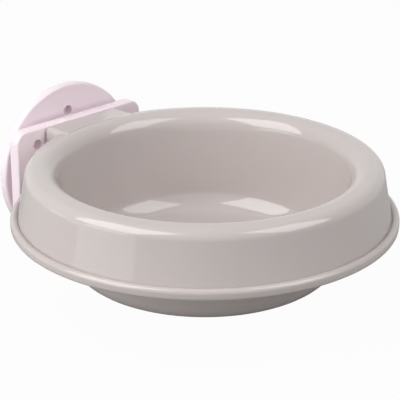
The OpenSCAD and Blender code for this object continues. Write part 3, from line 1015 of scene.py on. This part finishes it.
def make_bracket():
    """The plate with its round edges and small holes, and the hook on its front face."""
    half_w, half_h = (plate_high.x - plate_low.x) / 2, (plate_high.z - plate_low.z) / 2
    outline = rectangle_outline(half_w, half_h, PLATE_CORNER, PLATE_CORNER_STEPS)

    def in_plate(p, side):
        return (p.x, p.y, (side - 0.5) * PLATE_T)

    plate = prism("bracket", outline, in_plate, BRACKET_PLASTIC)
    rounded_edges(plate, PLATE_EDGE, PLATE_EDGE_STEPS)
    centres = [(sx * PLATE_HOLES[0], sy * PLATE_HOLES[1]) for sx in (-1, 1) for sy in (-1, 1)]
    drilled(plate, centres, small_drill(PLATE_HOLE_D, PLATE_T, HOLE_EDGE))
    tidy_mesh(plate.data)
    along_y(plate, -PLATE_T / 2)

    # The hook, as [Y, Z], with its foot sunk into the plate by the depth of the plate's round edge
    root, shelf_low = -PLATE_T + PLATE_EDGE, SHELF_TOP - SHELF_T
    front = HOOK_BACK - HOOK_T
    side_view = [
        Vector((root, shelf_low)),
        Vector((root, SHELF_TOP)),
        Vector((HOOK_BACK, SHELF_TOP)),
        Vector((HOOK_BACK, HOOK_TOP - HOOK_LEAD)),
        Vector((HOOK_BACK - HOOK_LEAD, HOOK_TOP)),
        Vector((front + HOOK_LEAD, HOOK_TOP)),
        Vector((front, HOOK_TOP - HOOK_LEAD)),
    ] + arc((front + HOOK_ROUND, shelf_low + HOOK_ROUND), HOOK_ROUND, 180, 270, HOOK_ARC_STEPS)

    def in_hook(p, side):
        return ((side - 0.5) * HOOK_W, p.x, p.y)

    hook = prism("hook", side_view, in_hook, BRACKET_PLASTIC)
    rounded_edges(hook, HOOK_EDGE, HOOK_EDGE_STEPS, SQUARE_EDGES)
    tidy_mesh(hook.data)

    # The recess for the screw's head, from the front, and the bore
    floor = -PLATE_T + HEAD_T + HEAD_FREE

    def in_recess(p, side):
        return (p.x, floor - side * 2 * PLATE_T, p.y)

    recess = prism("recess", hexagon_outline(HEAD_FLATS + 2 * HEAD_FREE), in_recess, BRACKET_PLASTIC)
    combined(plate, recess, "DIFFERENCE")
    half_section = [(0, -PLATE_T), (BORE_R, -PLATE_T), (BORE_R, PLATE_T), (0, PLATE_T)]
    bore = turned("bore", half_section, BRACKET_PLASTIC, BORE_STEPS)
    along_y(bore, 0)
    combined(plate, bore, "DIFFERENCE")
    tidy_mesh(plate.data)
    combined(plate, hook, "UNION")
    tidy_mesh(plate.data)
    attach(plate, "bracket")
    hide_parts("bracket_plate")


def closed_ends(mesh):
    """Welds the mesh and fills its open ends."""
    bm = bmesh.new()
    bm.from_mesh(mesh)
    bmesh.ops.remove_doubles(bm, verts=bm.verts, dist=WELD * MM)
    bmesh.ops.holes_fill(bm, edges=[edge for edge in bm.edges if edge.is_boundary])
    bm.to_mesh(mesh)
    bm.free()


def make_screw():
    """A hexagonal head with a chamfered face and a threaded shank."""
    low, high = screw_low.y, screw_high.y
    shank = THREADED.apply_to(
        profile_object("screw_shank", []), Radius=SCREW_D / 2 * MM, Pitch=SCREW_PITCH * MM,
        Depth=THREAD_DEPTH * MM, Low=(low + HEAD_T - SHANK_SUNK) * MM, High=high * MM,
        Sides=THREAD_SIDES, Rings=THREAD_RINGS, Taper=TIP_CHAMFER * MM, Material=SCREW_STEEL)
    closed_ends(shank.data)
    along_y(shank, 0)

    def in_head(p, side):
        return (p.x, low + side * HEAD_T, p.y)

    head = prism("screw_head", hexagon_outline(HEAD_FLATS), in_head, SCREW_STEEL)
    corner_r = HEAD_FLATS / 2 / math.cos(math.pi / 6)
    flat_r = HEAD_FLATS / 2 - HEAD_FACE_INSET
    wide, deep = corner_r + CUT_MARGIN, HEAD_T + CUT_MARGIN
    rise = (wide - flat_r) * math.tan(math.radians(HEAD_CHAMFER_SLOPE))
    cone = turned("head_cone", [(0, 0), (flat_r, 0), (wide, rise), (wide, deep), (0, deep)], SCREW_STEEL)
    along_y(cone, low)
    tidy_mesh(cone.data)
    combined(head, cone, "INTERSECT")
    screw = joined("screw", [head, shank])
    tidy_mesh(screw.data, THREAD_SHARP)
    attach(screw, "bracket")
    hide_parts("clamp_screw")


DISC_FACE_STEPS, DISC_EDGE_STEPS = 4, 6


def make_disc():
    """The round pressure disc with the bore for the screw and a ring of small holes, which a thin
    skin closes near the back."""
    disc_r, thick = (disc_high.x - disc_low.x) / 2, disc_high.y - disc_low.y
    half = thick / 2
    profile = [Vector((BORE_R, half - HOLE_EDGE)), Vector((BORE_R + HOLE_EDGE, half))]
    profile += spaced([profile[-1], Vector((disc_r - DISC_EDGE, half))], DISC_FACE_STEPS)
    profile += arc((disc_r - DISC_EDGE, half - DISC_EDGE), DISC_EDGE, 90, 0, DISC_EDGE_STEPS)[1:]
    profile += [Vector((p.x, -p.y)) for p in reversed(profile)]
    profile.append(profile[0])
    disc = turned("disc", profile, BRACKET_PLASTIC, DISC_STEPS)
    tidy_mesh(disc.data)
    turns = [math.radians(i * 360 / DISC_HOLES) for i in range(DISC_HOLES)]
    drilled(disc, [(DISC_HOLE_R * math.sin(t), DISC_HOLE_R * math.cos(t)) for t in turns],
            small_drill(DISC_HOLE_D, thick, HOLE_EDGE, HOLE_SKIN, SKIN_INSET))
    along_y(disc, disc_low.y + half)
    tidy_mesh(disc.data)
    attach(disc, "disc_body")
    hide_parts("clamp_disc")


HUB_ARC_STEPS, HUB_END_ARC_STEPS = 4, 5
WING_ARC_STEPS, WING_EDGE_STEPS = 20, 3


def make_nut():
    """A moulded wing nut: hub and wings melted together, then bored."""
    start = nut_low.y
    hub_r, end_r = HUB_D / 2, HUB_END_D / 2
    hub_arc = arc((hub_r - HUB_ROUND, HUB_ROUND), HUB_ROUND, -90, 0, HUB_ARC_STEPS)
    end_arc = arc((end_r - HUB_END_ROUND, HUB_LEN - HUB_END_ROUND), HUB_END_ROUND, HUB_TAPER, 90,
                  HUB_END_ARC_STEPS)
    profile = ([Vector((0, 0)), Vector((hub_r - HUB_ROUND, 0))] + hub_arc + end_arc
               + [Vector((0, HUB_LEN))])
    nut = turned("nut", profile, BRACKET_PLASTIC, NUT_STEPS)
    along_y(nut, start)
    tidy_mesh(nut.data)

    # Each wing, as [Y, distance from the axis], thins from its root to its tip
    root_y, wing_y = start + WING_INSET, start + HUB_LEN - WING_INSET
    tip_y, tip_z = start + HUB_LEN + WING_BACK - WING_END_R, nut_high.z - WING_END_R
    outline = ([Vector((root_y, 0)), Vector((wing_y, 0)), Vector((wing_y, end_r))]
               + arc((tip_y, tip_z), WING_END_R, 0, 180, WING_ARC_STEPS) + [Vector((root_y, end_r))])
    for up in (-1, 1):

        def in_wing(p, side, up=up):
            share = min(max(p.y / tip_z, 0), 1)
            thick = WING_ROOT_T + (WING_END_T - WING_ROOT_T) * share
            return ((side - 0.5) * thick, p.x, up * p.y)

        wing = prism("wing", outline, in_wing, BRACKET_PLASTIC)
        rounded_edges(wing, WING_EDGE, WING_EDGE_STEPS, SQUARE_EDGES)
        combined(nut, wing, "UNION")

    melt = nut.modifiers.new("melt", "REMESH")
    melt.mode = "VOXEL"
    melt.voxel_size = MELT_GRID * MM
    soften = nut.modifiers.new("soften", "SMOOTH")
    soften.factor, soften.iterations = SOFTEN_SHARE, SOFTEN_PASSES
    plain(nut)
    far = HUB_LEN + 2 * WING_BACK
    half_section = [(0, -CUT_MARGIN), (BORE_R, -CUT_MARGIN), (BORE_R, far), (0, far)]
    bore = turned("nut_bore", half_section, BRACKET_PLASTIC, BORE_STEPS)
    along_y(bore, start)
    tidy_mesh(bore.data)
    combined(nut, bore, "DIFFERENCE")
    tidy_mesh(nut.data)
    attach(nut, "nut_body")
    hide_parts("wing_nut")


make_camera()
make_studio()
make_cup()
make_bracket()
make_screw()
make_disc()
make_nut()
